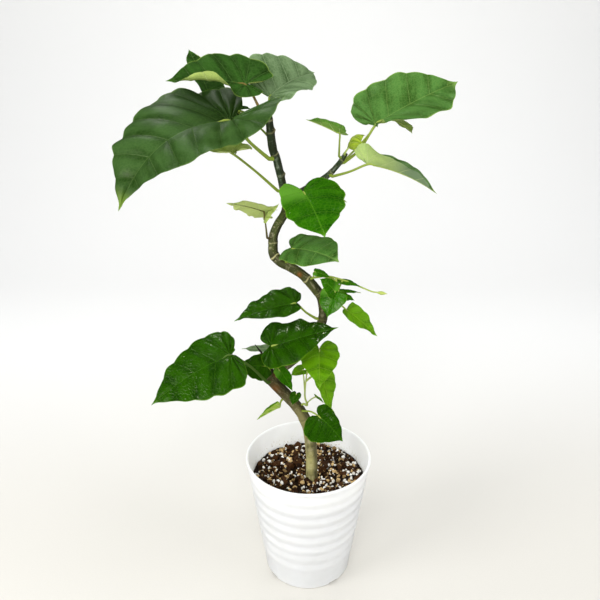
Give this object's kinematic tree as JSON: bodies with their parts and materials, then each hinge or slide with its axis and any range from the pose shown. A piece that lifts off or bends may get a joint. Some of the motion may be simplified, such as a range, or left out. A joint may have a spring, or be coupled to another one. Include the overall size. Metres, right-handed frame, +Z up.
{
  "type": "potted plant",
  "caption": "Potted fig with a winding bare trunk, two boughs and large heart-shaped leaves, in a white ribbed plastic pot.",
  "frame": {"origin": "centre of the pot's flat underside", "axes": "+Z up; -Y toward the side that the picture shows; +X to that side's right"},
  "size_m": [0.3996, 0.2396, 0.7365],
  "materials": {
    "pot_plastic": "satin white moulded plastic",
    "soil_mix": "loose moist bark and peat mix with white perlite",
    "bark": "smooth grey-brown bark with pale streaks",
    "bark_young": "dark green young bark",
    "dry_wood": "dark dry twig",
    "leaf": "leathery leaf with a soft gloss",
    "leaf_young": "pale young leaf with a soft sheen"
  },
  "bodies": {
    "root": {"pot": "pot_plastic", "soil": "soil_mix", "trunk": "bark", "bough_leader": "bark_young", "bough_right": "bark_young", "dry_spur": "dry_wood", "leaf_broad_left": "leaf", "leaf_under_left": "leaf", "leaf_folded_top": "leaf", "leaf_back_right": "leaf", "leaf_far_top": "leaf", "leaf_broad_right": "leaf", "leaf_drooping_right": "leaf", "leaf_small_right": "leaf", "leaf_unfolding": "leaf_young", "leaf_fork_heart": "leaf", "leaf_middle_heart": "leaf", "shoot_pale_left": "leaf_young", "shoot_middle": "leaf", "leaf_pointed_right": "leaf", "leaf_middle_left": "leaf", "leaf_low_dark": "leaf", "leaf_low_left": "leaf", "leaf_low_rear": "leaf", "leaf_low_small_rear": "leaf", "shoot_low": "leaf", "leaf_low_glossy": "leaf", "leaf_low_short": "leaf", "leaf_low_round": "leaf", "leaf_low_edge": "leaf_young", "shoot_rear_top": "leaf", "shoot_rear_right": "leaf", "shoot_rear_middle": "leaf", "shoot_rear_low": "leaf"}
  },
  "joints": []
}
